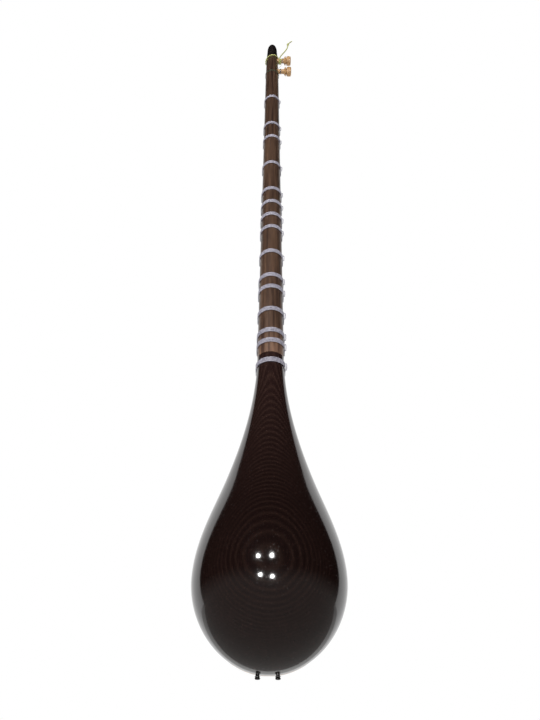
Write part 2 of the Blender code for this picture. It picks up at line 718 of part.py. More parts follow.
def make_fret(number, semitones, material, group):
    """One tied fret: turns of line round the neck, with the knot on the -X side."""
    z = NUT_Z - SCALE_LENGTH * (1.0 - 2.0 ** (-semitones / 12))
    half_band = (FRET_TURNS - 1) * FRET_PITCH / 2
    travel_down = FRET_TRAVEL if z > JOINT_Z else FRET_TRAVEL_ON_COLLAR
    reach = GAP + FRET_LINE_DIAMETER / 2
    outline = loop_outline(z - half_band - travel_down, reach, 8)
    count = len(outline)
    side_x, side_y = outline[0]
    step = FRET_PITCH / count
    points = [(side_x, side_y - 0.0040, half_band + FRET_PITCH + 0.0012)]
    for index in range(FRET_TURNS * count + 1):
        x, y = outline[index % count]
        points.append((x, y, half_band + FRET_PITCH / 2 - index * step))
    out = side_x - FRET_KNOT_LIFT
    low = -half_band - FRET_PITCH / 2
    points += [(out + 0.0003, side_y + 0.0016, low - 0.0009), (out, side_y + 0.0022, low + 0.0014),
               (out, side_y + 0.0022, half_band + 0.0006),
               (out + 0.0008, side_y + 0.0016, half_band + 0.0026)]
    name = "fret_%02d" % number
    gap = least_gap(points, FRET_LINE_DIAMETER, 0.006)
    print(name, "z mm:", round(z * 1000, 2), "least gap to itself, mm:", round(gap * 1000, 3))
    return tube(name, points, FRET_LINE_DIAMETER, material, group, sides=4, location=(0.0, 0.0, z))


def make_nut_tie(material, group):
    """A thin thread that holds the strings down behind the nut, lower at the back."""
    reach = GAP + TIE_DIAMETER / 2
    outline = loop_outline(NUT_Z, reach, 8)
    front_y = -0.0012 - BASS_DIAMETER / 2 - GAP - TIE_DIAMETER / 2
    half_string = STRING_SPACING_AT_NUT / 2 + 0.0022
    lifted = outline[:-2] + [(half_string, front_y), (-half_string, front_y)] + outline[-2:]
    count = len(lifted)
    points = []
    for index in range(TIE_TURNS * count + 1):
        x, y = lifted[index % count]
        back_share = min(1.0, max(0.0, y / NUT_DEPTH))
        z = NUT_Z + between(back_share, TIE_FRONT_ABOVE_NUT, TIE_BACK_ABOVE_NUT)
        points.append((x, y, z + TIE_PITCH * (0.5 * TIE_TURNS - index / count)))
    gap = least_gap(points, TIE_DIAMETER, 0.006)
    print("nut_tie least gap to itself, mm:", round(gap * 1000, 3))
    return tube("nut_tie", points, TIE_DIAMETER, material, group, sides=4)


def make_hanging_cord(material, group):
    """The cord round the head and its hitch round the upper peg's shaft, in one tube."""
    reach = GAP + CORD_DIAMETER / 2
    outline = loop_outline(0.0, reach, 10)
    tilt = CORD_TILT / NUT_HALF_WIDTH
    ring = [(x, y, -x * tilt) for x, y in outline]
    start = (ring[0][0], ring[0][1] + 0.0030, ring[0][2] + 0.0002)
    last = (outline[0][0] - 0.0004, 0.0040, CORD_TILT + 0.0003)
    radius = PEG_SHAFT_DIAMETER / 2 + PEG_CLEARANCE + GAP + CORD_DIAMETER / 2
    centre = Vector((0.0, PEG_BEHIND_FRONT, NUT_Z + UPPER_PEG_ABOVE_NUT))
    hitch_x = -head_side(UPPER_PEG_ABOVE_NUT) - HITCH_FROM_HEAD
    turns = helix(radius, hitch_x, HITCH_TURNS, HITCH_PITCH, math.radians(150), 12)
    hitch = [tuple(centre + Vector(point)) for point in turns]
    points = [start] + ring[1:] + [last] + hitch
    gap = least_gap(points, CORD_DIAMETER, 0.008)
    print("hanging_cord least gap to itself, mm:", round(gap * 1000, 3))
    return tube("hanging_cord", points, CORD_DIAMETER, material, group, sides=6)


# The loose end's route, chosen by hand: it stands up stiffly beside the head
CORD_END_ROUTE = ((-0.0161, 0.0140, 0.0039), (-0.0190, 0.0145, 0.0118), (-0.0232, 0.0150, 0.0202),
                  (-0.0284, 0.0165, 0.0301), (-0.0313, 0.0178, 0.0380), (-0.0321, 0.0187, 0.0440))
CORD_KNOT_ROUTE = ((-0.0322, 0.0188, 0.04448), (-0.0323, 0.0191, 0.0458), (-0.0325, 0.0195, 0.0474),
                   (-0.0331, 0.0200, 0.0490), (-0.0340, 0.0204, 0.0502), (-0.0368, 0.0214, 0.0530),
                   (-0.0407, 0.0225, 0.0561))
CORD_KNOT_RADII = (0.9, 1.7, 2.3, 1.8, 0.9, 0.95, 0.8)


def make_cord_end(material, group):
    """The loose end of the cord, and the stopper knot that it ends in."""
    end = smooth_route(CORD_END_ROUTE, 18)
    length = sum((b - a).length for a, b in zip(end, end[1:]))
    print("hanging_cord_end length, mm:", round(length * 1000, 2))
    tube("hanging_cord_end", end, CORD_DIAMETER, material, group, sides=8)
    tube("hanging_cord_knot", CORD_KNOT_ROUTE, CORD_DIAMETER, material, group, sides=8,
         radii=CORD_KNOT_RADII)


def build_tanbur():
    clear_scene()
    group = make_collection("tanbur")
    cutters = make_collection("cutters")
    walnut = make_material("walnut", WALNUT)
    lacquer = make_material("dark_lacquer", LACQUER)
    bone = make_material("bone", BONE)
    boxwood = make_material("boxwood", BOXWOOD)
    black_pin = make_material("black_pin", BLACK_PIN)
    steel = make_material("steel", STEEL)
    nylon = make_material("nylon", NYLON)
    cord = make_material("yellow_cord", YELLOW_CORD)

    make_bowl(lacquer, group, cutters)
    make_soundboard(make_material("mulberry", MULBERRY), group, cutters)
    make_neck(walnut, group, cutters)
    make_head_cap(make_material("black_cap", BLACK_CAP), group)
    make_nut(bone, group)
    make_bridge(make_material("dark_wood", DARK_WOOD), group, cutters)
    make_tail_pin("bass", BASS_PIN_X, black_pin, group)
    make_tail_pin("treble", TREBLE_PIN_X, black_pin, group)

    upper_axis = make_peg("upper", UPPER_PEG_ABOVE_NUT, boxwood, group)
    lower_axis = make_peg("lower", LOWER_PEG_ABOVE_NUT, boxwood, group)
    make_winding("winding_upper", "treble", UPPER_WINDING_TURNS, upper_axis, steel, group)
    make_winding("winding_lower", "bass", LOWER_WINDING_TURNS, lower_axis, steel, group)
    make_string("treble", TREBLE_PIN_X, treble_route(), steel, group)
    make_string("bass", BASS_PIN_X, bass_route(), steel, group)

    for number, semitones in enumerate(FRET_SEMITONES, start=1):
        make_fret(number, semitones, nylon, group)
    make_nut_tie(make_material("thread", THREAD), group)
    make_hanging_cord(cord, group)
    make_cord_end(cord, group)
    bpy.context.view_layer.update()


build_tanbur()
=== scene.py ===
# %% [markdown]
# A long-necked tanbur is seen upright in a white space, from behind and below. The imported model
# gives its pieces, their places and how they move. Each cell makes one of them again with finer
# shapes and a finish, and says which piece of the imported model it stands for.

import math

import bmesh
import bpy
from mathutils import Matrix, Vector


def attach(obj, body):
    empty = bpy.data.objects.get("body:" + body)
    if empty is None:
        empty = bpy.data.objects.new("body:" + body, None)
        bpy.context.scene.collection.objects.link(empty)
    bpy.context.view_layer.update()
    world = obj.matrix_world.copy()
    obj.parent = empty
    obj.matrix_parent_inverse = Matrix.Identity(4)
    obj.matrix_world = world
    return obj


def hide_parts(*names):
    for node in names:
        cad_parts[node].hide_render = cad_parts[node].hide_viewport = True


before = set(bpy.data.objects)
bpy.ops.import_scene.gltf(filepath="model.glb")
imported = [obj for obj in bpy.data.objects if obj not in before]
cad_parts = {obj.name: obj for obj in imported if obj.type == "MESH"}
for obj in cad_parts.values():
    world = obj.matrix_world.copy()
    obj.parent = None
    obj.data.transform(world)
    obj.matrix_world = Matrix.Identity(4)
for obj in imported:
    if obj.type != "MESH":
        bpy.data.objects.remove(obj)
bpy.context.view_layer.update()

# %% [markdown]
# The driving sizes of the instrument, in metres, are those that its solids were made with. The
# origin is on the head's front face, at the height of the hanging cord. +Z runs to the head, -Y
# is the playing side and the pegs are on the -X side.

# %% Sizes and places
HANG_ABOVE_NUT = 0.063
SCALE_LENGTH = 0.940
NECK_LENGTH = 0.693
BOWL_LENGTH = 0.3206
CAP_BASE_ABOVE_NUT = 0.0705
CAP_TAPER_LENGTH = 0.036
CAP_DOME_LENGTH = 0.023
NUT_HALF_WIDTH = 0.0124
JOINT_HALF_WIDTH = 0.01575
CAP_BASE_HALF_WIDTH = 0.0114
CAP_DOME_HALF_WIDTH = 0.0099
NUT_DEPTH = 0.020
JOINT_DEPTH = 0.028
CAP_BASE_DEPTH = 0.0185
CAP_DOME_DEPTH = 0.0172
CAP_TIP_BEHIND_FRONT = 0.0082
NECK_SHOULDER = 0.40
EDGE_CHAMFER = 0.0008
HEAD_CHAMFER = 0.0045
BOWL_WIDTH = 0.137
BOWL_DEPTH = 0.100
BOWL_SHOULDER = 0.22
WIDEST_ABOVE_TAIL = 0.070
FLANK_ABOVE_TAIL = 0.1597
FLANK_HALF_WIDTH = 0.0443
FLANK_SLOPE = 0.329
RIM_TUCK = 0.03
BOARD_THICKNESS = 0.003
BOARD_HOLES_ABOVE_TAIL = 0.150
BOARD_HOLE_RING = 0.009
BOARD_HOLE_DIAMETER = 0.004
GAP = 0.0003

NUT_Z = -HANG_ABOVE_NUT
JOINT_Z = NUT_Z - NECK_LENGTH
TAIL_Z = JOINT_Z - BOWL_LENGTH
BRIDGE_Z = NUT_Z - SCALE_LENGTH
CAP_BASE_Z = NUT_Z + CAP_BASE_ABOVE_NUT
BOARD_BACK = BOARD_THICKNESS + GAP
print("tail at, mm:", round(TAIL_Z * 1000, 1))

# %% [markdown]
# The camera stands a little below the tail, half a metre behind the instrument, and looks up the
# neck. Its height and tilt come from how fast the fret spacing shrinks towards the head. A small
# roll and turn put the neck's slight lean in the same place as in the photograph. The camera's
# axes are worked out as vectors, so that each of these small turns is one plain line.

# %% Camera
LENS = 26.0
SENSOR_WIDTH = 36.0
CAMERA_PITCH = math.radians(35.96)
CAMERA_ROLL = math.radians(0.30)
TURN_PIXELS = 0.6
FOCAL_LENGTH_PIXELS = 520
CAMERA_TURN = TURN_PIXELS / FOCAL_LENGTH_PIXELS
CAMERA_BEHIND_FRONT = 0.5095
CAMERA_BELOW_NUT = 1.0550

camera_data = bpy.data.cameras.new("camera")
camera_data.lens = LENS
camera_data.sensor_width = SENSOR_WIDTH
camera = bpy.data.objects.new("camera", camera_data)
bpy.context.scene.collection.objects.link(camera)
right = Vector((-1.0, 0.0, 0.0))
ahead = Vector((0.0, -math.cos(CAMERA_PITCH), math.sin(CAMERA_PITCH)))
upward = right.cross(ahead)
ahead = (ahead - right * CAMERA_TURN).normalized()
right = (right * math.cos(CAMERA_ROLL) + upward * math.sin(CAMERA_ROLL)).normalized()
right = (right - ahead * right.dot(ahead)).normalized()
upward = right.cross(ahead)
camera.matrix_world = (Matrix.Translation((0.0, CAMERA_BEHIND_FRONT, NUT_Z - CAMERA_BELOW_NUT))
                       @ Matrix((right, upward, -ahead)).transposed().to_4x4())
bpy.context.scene.camera = camera
print("camera looks along:", [round(v, 3) for v in ahead])

# %% [markdown]
# Every finish is built from nodes that read Object coordinates, so a pattern stays on its piece.
# Small helpers make a material, add a stretched noise to it, turn a value into a colour or into
# another range, scale a colour, and raise a pattern as a bump.

# %% Helpers for materials
def new_material(name, roughness, metallic=0.0):
    material = bpy.data.materials.new(name)
    material.use_nodes = True
    shader = material.node_tree.nodes["Principled BSDF"]
    shader.inputs["Roughness"].default_value = roughness
    shader.inputs["Metallic"].default_value = metallic
    return material, shader


def join(material, start, end):
    material.node_tree.links.new(start, end)


def object_noise(material, stretch, detail=6.0, distortion=0.3):
    """Noise on Object coordinates, with a scale for each direction."""
    nodes = material.node_tree.nodes
    place = nodes.new("ShaderNodeTexCoord")
    mapping = nodes.new("ShaderNodeMapping")
    mapping.inputs["Scale"].default_value = stretch
    noise = nodes.new("ShaderNodeTexNoise")
    noise.inputs["Scale"].default_value = 1.0
    noise.inputs["Detail"].default_value = detail
    noise.inputs["Distortion"].default_value = distortion
    join(material, place.outputs["Object"], mapping.inputs["Vector"])
    join(material, mapping.outputs["Vector"], noise.inputs["Vector"])
    return noise.outputs[0]


def colour_ramp(material, source, stops):
    ramp = material.node_tree.nodes.new("ShaderNodeValToRGB")
    while len(ramp.color_ramp.elements) < len(stops):
        ramp.color_ramp.elements.new(0.5)
    for element, (place, colour) in zip(ramp.color_ramp.elements, stops):
        element.position = place
        element.color = (*colour, 1.0)
    join(material, source, ramp.inputs[0])
    return ramp.outputs[0]


def ranged(material, source, low, high, to_low, to_high):
    node = material.node_tree.nodes.new("ShaderNodeMapRange")
    for index, value in enumerate((low, high, to_low, to_high), start=1):
        node.inputs[index].default_value = value
    join(material, source, node.inputs[0])
    return node.outputs[0]


def object_axis(material, axis):
    place = material.node_tree.nodes.new("ShaderNodeTexCoord")
    split = material.node_tree.nodes.new("ShaderNodeSeparateXYZ")
    join(material, place.outputs["Object"], split.inputs[0])
    return split.outputs[axis]


def scaled(material, colour, factor):
    node = material.node_tree.nodes.new("ShaderNodeVectorMath")
    node.operation = "SCALE"
    join(material, colour, node.inputs[0])
    join(material, factor, node.inputs["Scale"])
    return node.outputs["Vector"]


def bumpy(material, shader, source, strength, distance):
    bump = material.node_tree.nodes.new("ShaderNodeBump")
    bump.inputs["Strength"].default_value = strength
    bump.inputs["Distance"].default_value = distance
    join(material, source, bump.inputs["Height"])
    join(material, bump.outputs["Normal"], shader.inputs["Normal"])


# %% [markdown]
# Wood looks like wood because its pattern is drawn out along the grain. The same recipe, with
# other colours and stretches, gives the walnut neck, the turned boxwood pegs, the mulberry board
# and the dark bridge.

# %% Woods
def wood(name, dark, light, roughness, stretch, strength=0.2, lift=None):
    """Wood with its grain drawn out by stretch; lift brightens it between two heights."""
    material, shader = new_material(name, roughness)
    broad = object_noise(material, stretch, 7.0, 0.6)
    colour = colour_ramp(material, broad, [(0.34, dark), (0.66, light)])
    pores = object_noise(material, tuple(v * 7 for v in stretch), 3.0, 0.1)
    colour = scaled(material, colour, ranged(material, pores, 0.35, 0.65, 0.78, 1.15))
    if lift:
        low, high, amount = lift
        along = ranged(material, object_axis(material, 2), low, high, amount, 1.0)
        colour = scaled(material, colour, along)
    join(material, colour, shader.inputs["Base Color"])
    join(material, ranged(material, broad, 0.3, 0.7, roughness - 0.06, roughness + 0.08),
         shader.inputs["Roughness"])
    bumpy(material, shader, pores, strength, 0.0002)
    return material


WALNUT = wood("walnut", (0.026, 0.014, 0.010), (0.082, 0.045, 0.027), 0.36,
              (260.0, 260.0, 9.0), lift=(JOINT_Z, JOINT_Z + 0.045, 2.1))
BOXWOOD = wood("boxwood", (0.30, 0.165, 0.070), (0.47, 0.285, 0.130), 0.34,
               (40.0, 420.0, 420.0), 0.12)
MULBERRY = wood("mulberry", (0.34, 0.18, 0.065), (0.56, 0.34, 0.145), 0.42, (240.0, 90.0, 7.0))
BRIDGE_WOOD = wood("dark_wood", (0.030, 0.014, 0.009), (0.085, 0.045, 0.026), 0.38,
                   (30.0, 300.0, 300.0))
BLACK_WOOD = wood("black_wood", (0.006, 0.005, 0.005), (0.016, 0.013, 0.012), 0.26,
                  (300.0, 300.0, 20.0), 0.08)
print("woods made:", len(bpy.data.materials))

# %% [markdown]
# The bowl is carved from one block and finished in a very dark, glossy red-brown lacquer. A block
# of wood cut to a dome shows its growth rings as contour lines. A picture could draw them, but
# flat bands along the depth, bent by noise, fall on the dome as such lines by themselves. Fine
# dust dulls the gloss in small specks.

# %% Lacquer
RING_SPACING = 0.0024
WAVE_REPEAT = math.pi / 10


def lacquer():
    material, shader = new_material("dark_lacquer", 0.11)
    nodes = material.node_tree.nodes
    place = nodes.new("ShaderNodeTexCoord")
    rings = nodes.new("ShaderNodeTexWave")
    rings.wave_type = "BANDS"
    rings.bands_direction = "Y"
    rings.inputs["Scale"].default_value = WAVE_REPEAT / RING_SPACING
    rings.inputs["Distortion"].default_value = 7.0
    rings.inputs["Detail"].default_value = 2.0
    rings.inputs["Detail Scale"].default_value = 0.10
    join(material, place.outputs["Object"], rings.inputs["Vector"])
    colour = colour_ramp(material, rings.outputs[0],
                         [(0.0, (0.0075, 0.0036, 0.0032)), (0.70, (0.0095, 0.0047, 0.0040)),
                          (1.0, (0.0135, 0.0070, 0.0056))])
    flecks = object_noise(material, (1500.0, 1500.0, 130.0), 2.0, 0.0)
    colour = scaled(material, colour, ranged(material, flecks, 0.55, 0.75, 0.9, 1.9))
    along = object_axis(material, 2)
    colour = scaled(material, colour, ranged(material, along, TAIL_Z + 0.12, JOINT_Z, 0.7, 1.7))
    join(material, colour, shader.inputs["Base Color"])
    dust = object_noise(material, (700.0, 700.0, 700.0), 2.0, 0.0)
    join(material, ranged(material, dust, 0.66, 0.76, 0.10, 0.45), shader.inputs["Roughness"])
    bumpy(material, shader, object_noise(material, (45.0, 45.0, 30.0), 3.0, 0.0), 0.05, 0.0006)
    return material


LACQUER = lacquer()
print("nodes in the lacquer:", len(LACQUER.node_tree.nodes))

# %% [markdown]
# The small things: clear line for the frets, drawn steel wire, bone, a dark green thread and the
# yellow-green hanging cord. They are too small to show much of a pattern, so one recipe of fine
# mottling does for all but the cord, whose twist is a diagonal band pattern.

# %% Small finishes
def mottled(name, dark, light, roughness, metallic=0.0, scale=600.0, strength=0.1):
    material, shader = new_material(name, roughness, metallic)
    grain = object_noise(material, (scale, scale, scale), 4.0, 0.0)
    join(material, colour_ramp(material, grain, [(0.35, dark), (0.65, light)]),
         shader.inputs["Base Color"])
    join(material, ranged(material, grain, 0.3, 0.7, roughness - 0.05, roughness + 0.08),
         shader.inputs["Roughness"])
    bumpy(material, shader, grain, strength, 0.0001)
    return material


def twisted_cord():
    material, shader = new_material("yellow_cord", 0.6)
    nodes = material.node_tree.nodes
    place = nodes.new("ShaderNodeTexCoord")
    strands = nodes.new("ShaderNodeTexWave")
    strands.bands_direction = "DIAGONAL"
    strands.inputs["Scale"].default_value = 170.0
    strands.inputs["Distortion"].default_value = 0.6
    join(material, place.outputs["Object"], strands.inputs["Vector"])
    colour = colour_ramp(material, strands.outputs[0],
                         [(0.0, (0.20, 0.20, 0.055)), (1.0, (0.50, 0.52, 0.20))])
    join(material, colour, shader.inputs["Base Color"])
    bumpy(material, shader, strands.outputs[0], 0.5, 0.0003)
    return material


NYLON = mottled("nylon", (0.20, 0.19, 0.23), (0.36, 0.345, 0.40), 0.30, scale=500.0)
STEEL = mottled("steel", (0.42, 0.42, 0.43), (0.62, 0.62, 0.62), 0.26, 1.0, 900.0)
BONE = mottled("bone", (0.66, 0.60, 0.46), (0.80, 0.75, 0.62), 0.34, scale=300.0)
THREAD = mottled("thread", (0.030, 0.045, 0.028), (0.090, 0.110, 0.070), 0.32)
CORD = twisted_cord()
print("materials in all:", len(bpy.data.materials))

# %% [markdown]
# Most lines on an instrument follow a path: strings, their turns on a peg, and the tied frets.
# Each could be a curve with a bevel, but one node tree with named inputs makes them all alike. It
# sweeps a round profile along a chain of edges. The result is kept as a plain mesh, because the
# export drops live trees.

# %% A node tree that sweeps a line along a path
def line_tree():
    tree = bpy.data.node_groups.new("line_on_path", "GeometryNodeTree")
    face = tree.interface
    face.new_socket("Geometry", in_out="INPUT", socket_type="NodeSocketGeometry")
    face.new_socket("Radius", in_out="INPUT", socket_type="NodeSocketFloat")
    face.new_socket("Sides", in_out="INPUT", socket_type="NodeSocketInt")
    face.new_socket("Material", in_out="INPUT", socket_type="NodeSocketMaterial")
    face.new_socket("Geometry", in_out="OUTPUT", socket_type="NodeSocketGeometry")
    nodes, links = tree.nodes, tree.links
    given = nodes.new("NodeGroupInput")
    path = nodes.new("GeometryNodeMeshToCurve")
    profile = nodes.new("GeometryNodeCurvePrimitiveCircle")
    sweep = nodes.new("GeometryNodeCurveToMesh")
    sweep.inputs["Fill Caps"].default_value = True
    smooth = nodes.new("GeometryNodeSetShadeSmooth")
    finish = nodes.new("GeometryNodeSetMaterial")
    real = nodes.new("GeometryNodeRealizeInstances")
    made = nodes.new("NodeGroupOutput")
    links.new(given.outputs["Geometry"], path.inputs[0])
    links.new(given.outputs["Sides"], profile.inputs["Resolution"])
    links.new(given.outputs["Radius"], profile.inputs["Radius"])
    links.new(path.outputs[0], sweep.inputs["Curve"])
    links.new(profile.outputs[0], sweep.inputs["Profile Curve"])
    links.new(sweep.outputs[0], smooth.inputs[0])
    links.new(smooth.outputs[0], real.inputs[0])
    links.new(real.outputs[0], finish.inputs["Geometry"])
    links.new(given.outputs["Material"], finish.inputs["Material"])
    links.new(finish.outputs[0], made.inputs[0])
    return tree


LINE_TREE = line_tree()
LINE_INPUTS = {item.name: item.identifier for item in LINE_TREE.interface.items_tree
               if item.in_out == "INPUT"}


def add_piece(name, mesh, material):
    piece = bpy.data.objects.new(name, mesh)
    if material and not mesh.materials:
        mesh.materials.append(material)
    bpy.context.scene.collection.objects.link(piece)
    return piece


def line_piece(name, points, diameter, material, sides=10):
    """A round line of the given diameter along the points, as a plain mesh."""
    chain = bpy.data.meshes.new(name + "_path")
    chain.from_pydata([tuple(p) for p in points], [(i, i + 1) for i in range(len(points) - 1)], [])
    carrier = bpy.data.objects.new(name + "_carrier", chain)
    bpy.context.scene.collection.objects.link(carrier)
    change = carrier.modifiers.new("line", "NODES")
    change.node_group = LINE_TREE
    change[LINE_INPUTS["Radius"]] = diameter / 2
    change[LINE_INPUTS["Sides"]] = sides
    change[LINE_INPUTS["Material"]] = material
    bpy.context.view_layer.update()
    depsgraph = bpy.context.evaluated_depsgraph_get()
    mesh = bpy.data.meshes.new_from_object(carrier.evaluated_get(depsgraph))
    bpy.data.objects.remove(carrier, do_unlink=True)
    return add_piece(name, mesh, material)


print("inputs of the line tree:", list(LINE_INPUTS))

# %% [markdown]
# The cord comes first. It is tied round the head, takes a hitch on the upper peg's shaft, and its
# short loose end stands up stiffly to a small knot. The loose end repeats the points of its solid.
# It is a curve with a bevel, whose radius at each point swells and thins the knot.

# %% The cord's loose end and its knot
CORD_DIAMETER = 0.0022
RUN_STEPS = 6
CORD_END_ROUTE = ((-0.0161, 0.0140, 0.0039), (-0.0190, 0.0145, 0.0118), (-0.0232, 0.0150, 0.0202),
                  (-0.0284, 0.0165, 0.0301), (-0.0313, 0.0178, 0.0380), (-0.0321, 0.0187, 0.0440))
CORD_KNOT_ROUTE = ((-0.0322, 0.0188, 0.04448), (-0.0323, 0.0191, 0.0458),
                   (-0.0325, 0.0195, 0.0474), (-0.0331, 0.0200, 0.0490),
                   (-0.0340, 0.0204, 0.0502), (-0.0368, 0.0214, 0.0530),
                   (-0.0407, 0.0225, 0.0561))
CORD_KNOT_RADII = (0.9, 1.7, 2.3, 1.8, 0.9, 0.95, 0.8)


def hermite(share, start, end, start_slope, end_slope):
    """A smooth step from start to end that leaves and arrives with the given slopes."""
    square, cube = share * share, share ** 3
    return ((2 * cube - 3 * square + 1) * start + (cube - 2 * square + share) * start_slope
            + (3 * square - 2 * cube) * end + (cube - square) * end_slope)


def rounded(points):
    """A smooth curve through given points."""
    route = [Vector(p) for p in points]
    route = [route[0] * 2 - route[1]] + route + [route[-1] * 2 - route[-2]]
    result = []
    for before, start, end, after in zip(route, route[1:], route[2:], route[3:]):
        for step in range(RUN_STEPS):
            result.append(hermite(step / RUN_STEPS, start, end, (end - before) / 2,
                                  (after - start) / 2))
    return result + [route[-2]]


def path_length(points):
    return sum((Vector(b) - Vector(a)).length for a, b in zip(points, points[1:]))


def curve_piece(name, points, diameter, material, radii=None):
    curve = bpy.data.curves.new(name, "CURVE")
    curve.dimensions = "3D"
    curve.bevel_depth = diameter / 2
    curve.bevel_resolution = 4
    curve.use_fill_caps = True
    line = curve.splines.new("POLY")
    line.points.add(len(points) - 1)
    for index, point in enumerate(points):
        line.points[index].co = (*point, 1.0)
        line.points[index].radius = radii[index] if radii else 1.0
    curve.materials.append(material)
    piece = bpy.data.objects.new(name, curve)
    bpy.context.scene.collection.objects.link(piece)
    return piece


end_points = rounded(CORD_END_ROUTE)
cord_end = curve_piece("cord_end", end_points, CORD_DIAMETER, CORD)
knot_points = rounded(CORD_KNOT_ROUTE)
knot_radii = []
for index in range(len(knot_points)):
    run, step = divmod(index, RUN_STEPS)
    here = CORD_KNOT_RADII[run]
    after = CORD_KNOT_RADII[min(run + 1, len(CORD_KNOT_RADII) - 1)]
    knot_radii.append(hermite(step / RUN_STEPS, here, after, 0, 0))
cord_knot = curve_piece("cord_knot", knot_points, CORD_DIAMETER, CORD, knot_radii)
for piece, node in ((cord_end, "hanging_cord_end"), (cord_knot, "hanging_cord_knot")):
    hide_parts(node)
    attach(piece, "instrument")

# %% [markdown]
# The neck and bowl are carved by hand, and each cross-section is a flat front and a rounded back
# that change evenly along the length. So both are lofts: closed rings at many heights, joined by
# quads. The rings follow the formulas of the solids, with more points, so the lacquer's
# reflections run smoothly.

# %% Sections of the neck and the bowl
SEAM = 0.0001


def between(share, start, end):
    return start + (end - start) * share


def neck_size(z):
    if z > NUT_Z:
        share = (z - NUT_Z) / CAP_BASE_ABOVE_NUT
        return (between(share, NUT_HALF_WIDTH, CAP_BASE_HALF_WIDTH),
                between(share, NUT_DEPTH, CAP_BASE_DEPTH))
    share = (NUT_Z - z) / NECK_LENGTH
    return (between(share, NUT_HALF_WIDTH, JOINT_HALF_WIDTH),
            between(share, NUT_DEPTH, JOINT_DEPTH))


def bowl_size(z):
    above_tail = z - TAIL_Z
    widest = BOWL_WIDTH / 2
    if above_tail <= WIDEST_ABOVE_TAIL:
        across = (WIDEST_ABOVE_TAIL - above_tail) / WIDEST_ABOVE_TAIL
        round_share = math.sqrt(max(0.0, 1.0 - across * across))
        return widest * round_share, between(round_share, BOARD_BACK, BOWL_DEPTH), 1.0
    if above_tail <= FLANK_ABOVE_TAIL:
        run = FLANK_ABOVE_TAIL - WIDEST_ABOVE_TAIL
        half_width = hermite((above_tail - WIDEST_ABOVE_TAIL) / run, widest, FLANK_HALF_WIDTH,
                             0.0, -FLANK_SLOPE * run)
    else:
        run = BOWL_LENGTH - FLANK_ABOVE_TAIL
        neck_slope = (JOINT_HALF_WIDTH - NUT_HALF_WIDTH) / NECK_LENGTH
        half_width = hermite(min(1.0, (above_tail - FLANK_ABOVE_TAIL) / run), FLANK_HALF_WIDTH,
                             JOINT_HALF_WIDTH, -FLANK_SLOPE * run, -neck_slope * run)
    fullness = max(0.0, (half_width - JOINT_HALF_WIDTH) / (widest - JOINT_HALF_WIDTH))
    return half_width, between(fullness, JOINT_DEPTH, BOWL_DEPTH), fullness


def bowl_shoulder(depth, fullness):
    return max(BOARD_BACK + GAP, between(fullness, NECK_SHOULDER, BOWL_SHOULDER) * depth)


def round_back(half_width, depth, shoulder, steps):
    angles = [math.pi * step / steps for step in range(steps + 1)]
    return [(half_width * math.cos(a), shoulder + (depth - shoulder) * math.sin(a))
            for a in angles]


def front_chamfer(z):
    if z < JOINT_Z:
        return 0.0
    share = min(1.0, max(0.0, (z - NUT_Z) / CAP_BASE_ABOVE_NUT))
    return between(share, EDGE_CHAMFER, HEAD_CHAMFER)


def neck_ring(z, half_width, depth, steps=48):
    chamfer = front_chamfer(z)
    flat = [(half_width - chamfer, 0.0), (half_width, chamfer)]
    back = round_back(half_width, depth, NECK_SHOULDER * depth, steps)
    return [(x, y, z) for x, y in flat + back + [(-x, y) for x, y in reversed(flat)]]


def loft(name, rings, material, sharp=35.0):
    """A closed skin over rings with the same number of points."""
    shape = bmesh.new()
    loops = [[shape.verts.new(point) for point in ring] for ring in rings]
    for first, second in zip(loops, loops[1:]):
        for i in range(len(first)):
            j = (i + 1) % len(first)
            shape.faces.new((first[i], first[j], second[j], second[i]))
    shape.faces.new(list(reversed(loops[0])))
    shape.faces.new(loops[-1])
    bmesh.ops.recalc_face_normals(shape, faces=shape.faces)
    mesh = bpy.data.meshes.new(name)
    shape.to_mesh(mesh)
    shape.free()
    mesh.shade_smooth()
    mesh.set_sharp_from_angle(angle=math.radians(sharp))
    return add_piece(name, mesh, material)


def dress(piece, slot, body, *nodes):
    """The piece stands for the nodes and moves with the body. The slot is not used."""
    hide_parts(*nodes)
    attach(piece, body)
    return piece


print("neck at the nut, mm:", [round(v * 1000, 1) for v in neck_size(NUT_Z)])

# %% [markdown]
# The bowl is widest low down and closes to the tail in a quarter of an ellipse. Rings at even
# heights would leave flat facets there, so below the widest place they are set at even angles,
# which brings them close together where the bowl curves most.

# %% Bowl
BOWL_TOP = JOINT_Z - GAP / 2
LAST_TAIL_ANGLE = 0.06


def bowl_heights(upper_count, tail_count):
    widest_z = TAIL_Z + WIDEST_ABOVE_TAIL
    upper = [between(step / upper_count, BOWL_TOP, widest_z) for step in range(upper_count)]
    angles = [between(step / tail_count, math.pi / 2, LAST_TAIL_ANGLE)
              for step in range(tail_count + 1)]
    return upper + [widest_z - WIDEST_ABOVE_TAIL * math.cos(a) for a in angles]


def rim_half_width(half_width, fullness):
    return half_width * (1.0 - RIM_TUCK * fullness)


bowl_front = BOARD_THICKNESS + SEAM
bowl_rings = []
for z in bowl_heights(90, 48):
    half_width, depth, fullness = bowl_size(z)
    rim = rim_half_width(half_width, fullness)
    back = round_back(half_width, depth, bowl_shoulder(depth, fullness), 96)
    bowl_rings.append([(x, y, z) for x, y in [(rim, bowl_front)] + back + [(-rim, bowl_front)]])
bowl = dress(loft("bowl_lacquered", bowl_rings, LACQUER, 50.0),
             "dark_lacquer", "instrument", "bowl")
print("bowl faces:", len(bowl.data.polygons))

# %% [markdown]
# The soundboard is a thin flat plate with the rim's outline and seven small sound holes. Boolean
# cuts make the holes, because they leave round walls inside the wood, as a drill does. The result
# is kept as a mesh.

# %% Soundboard
HOLE_CUTTER_LENGTH = 0.02


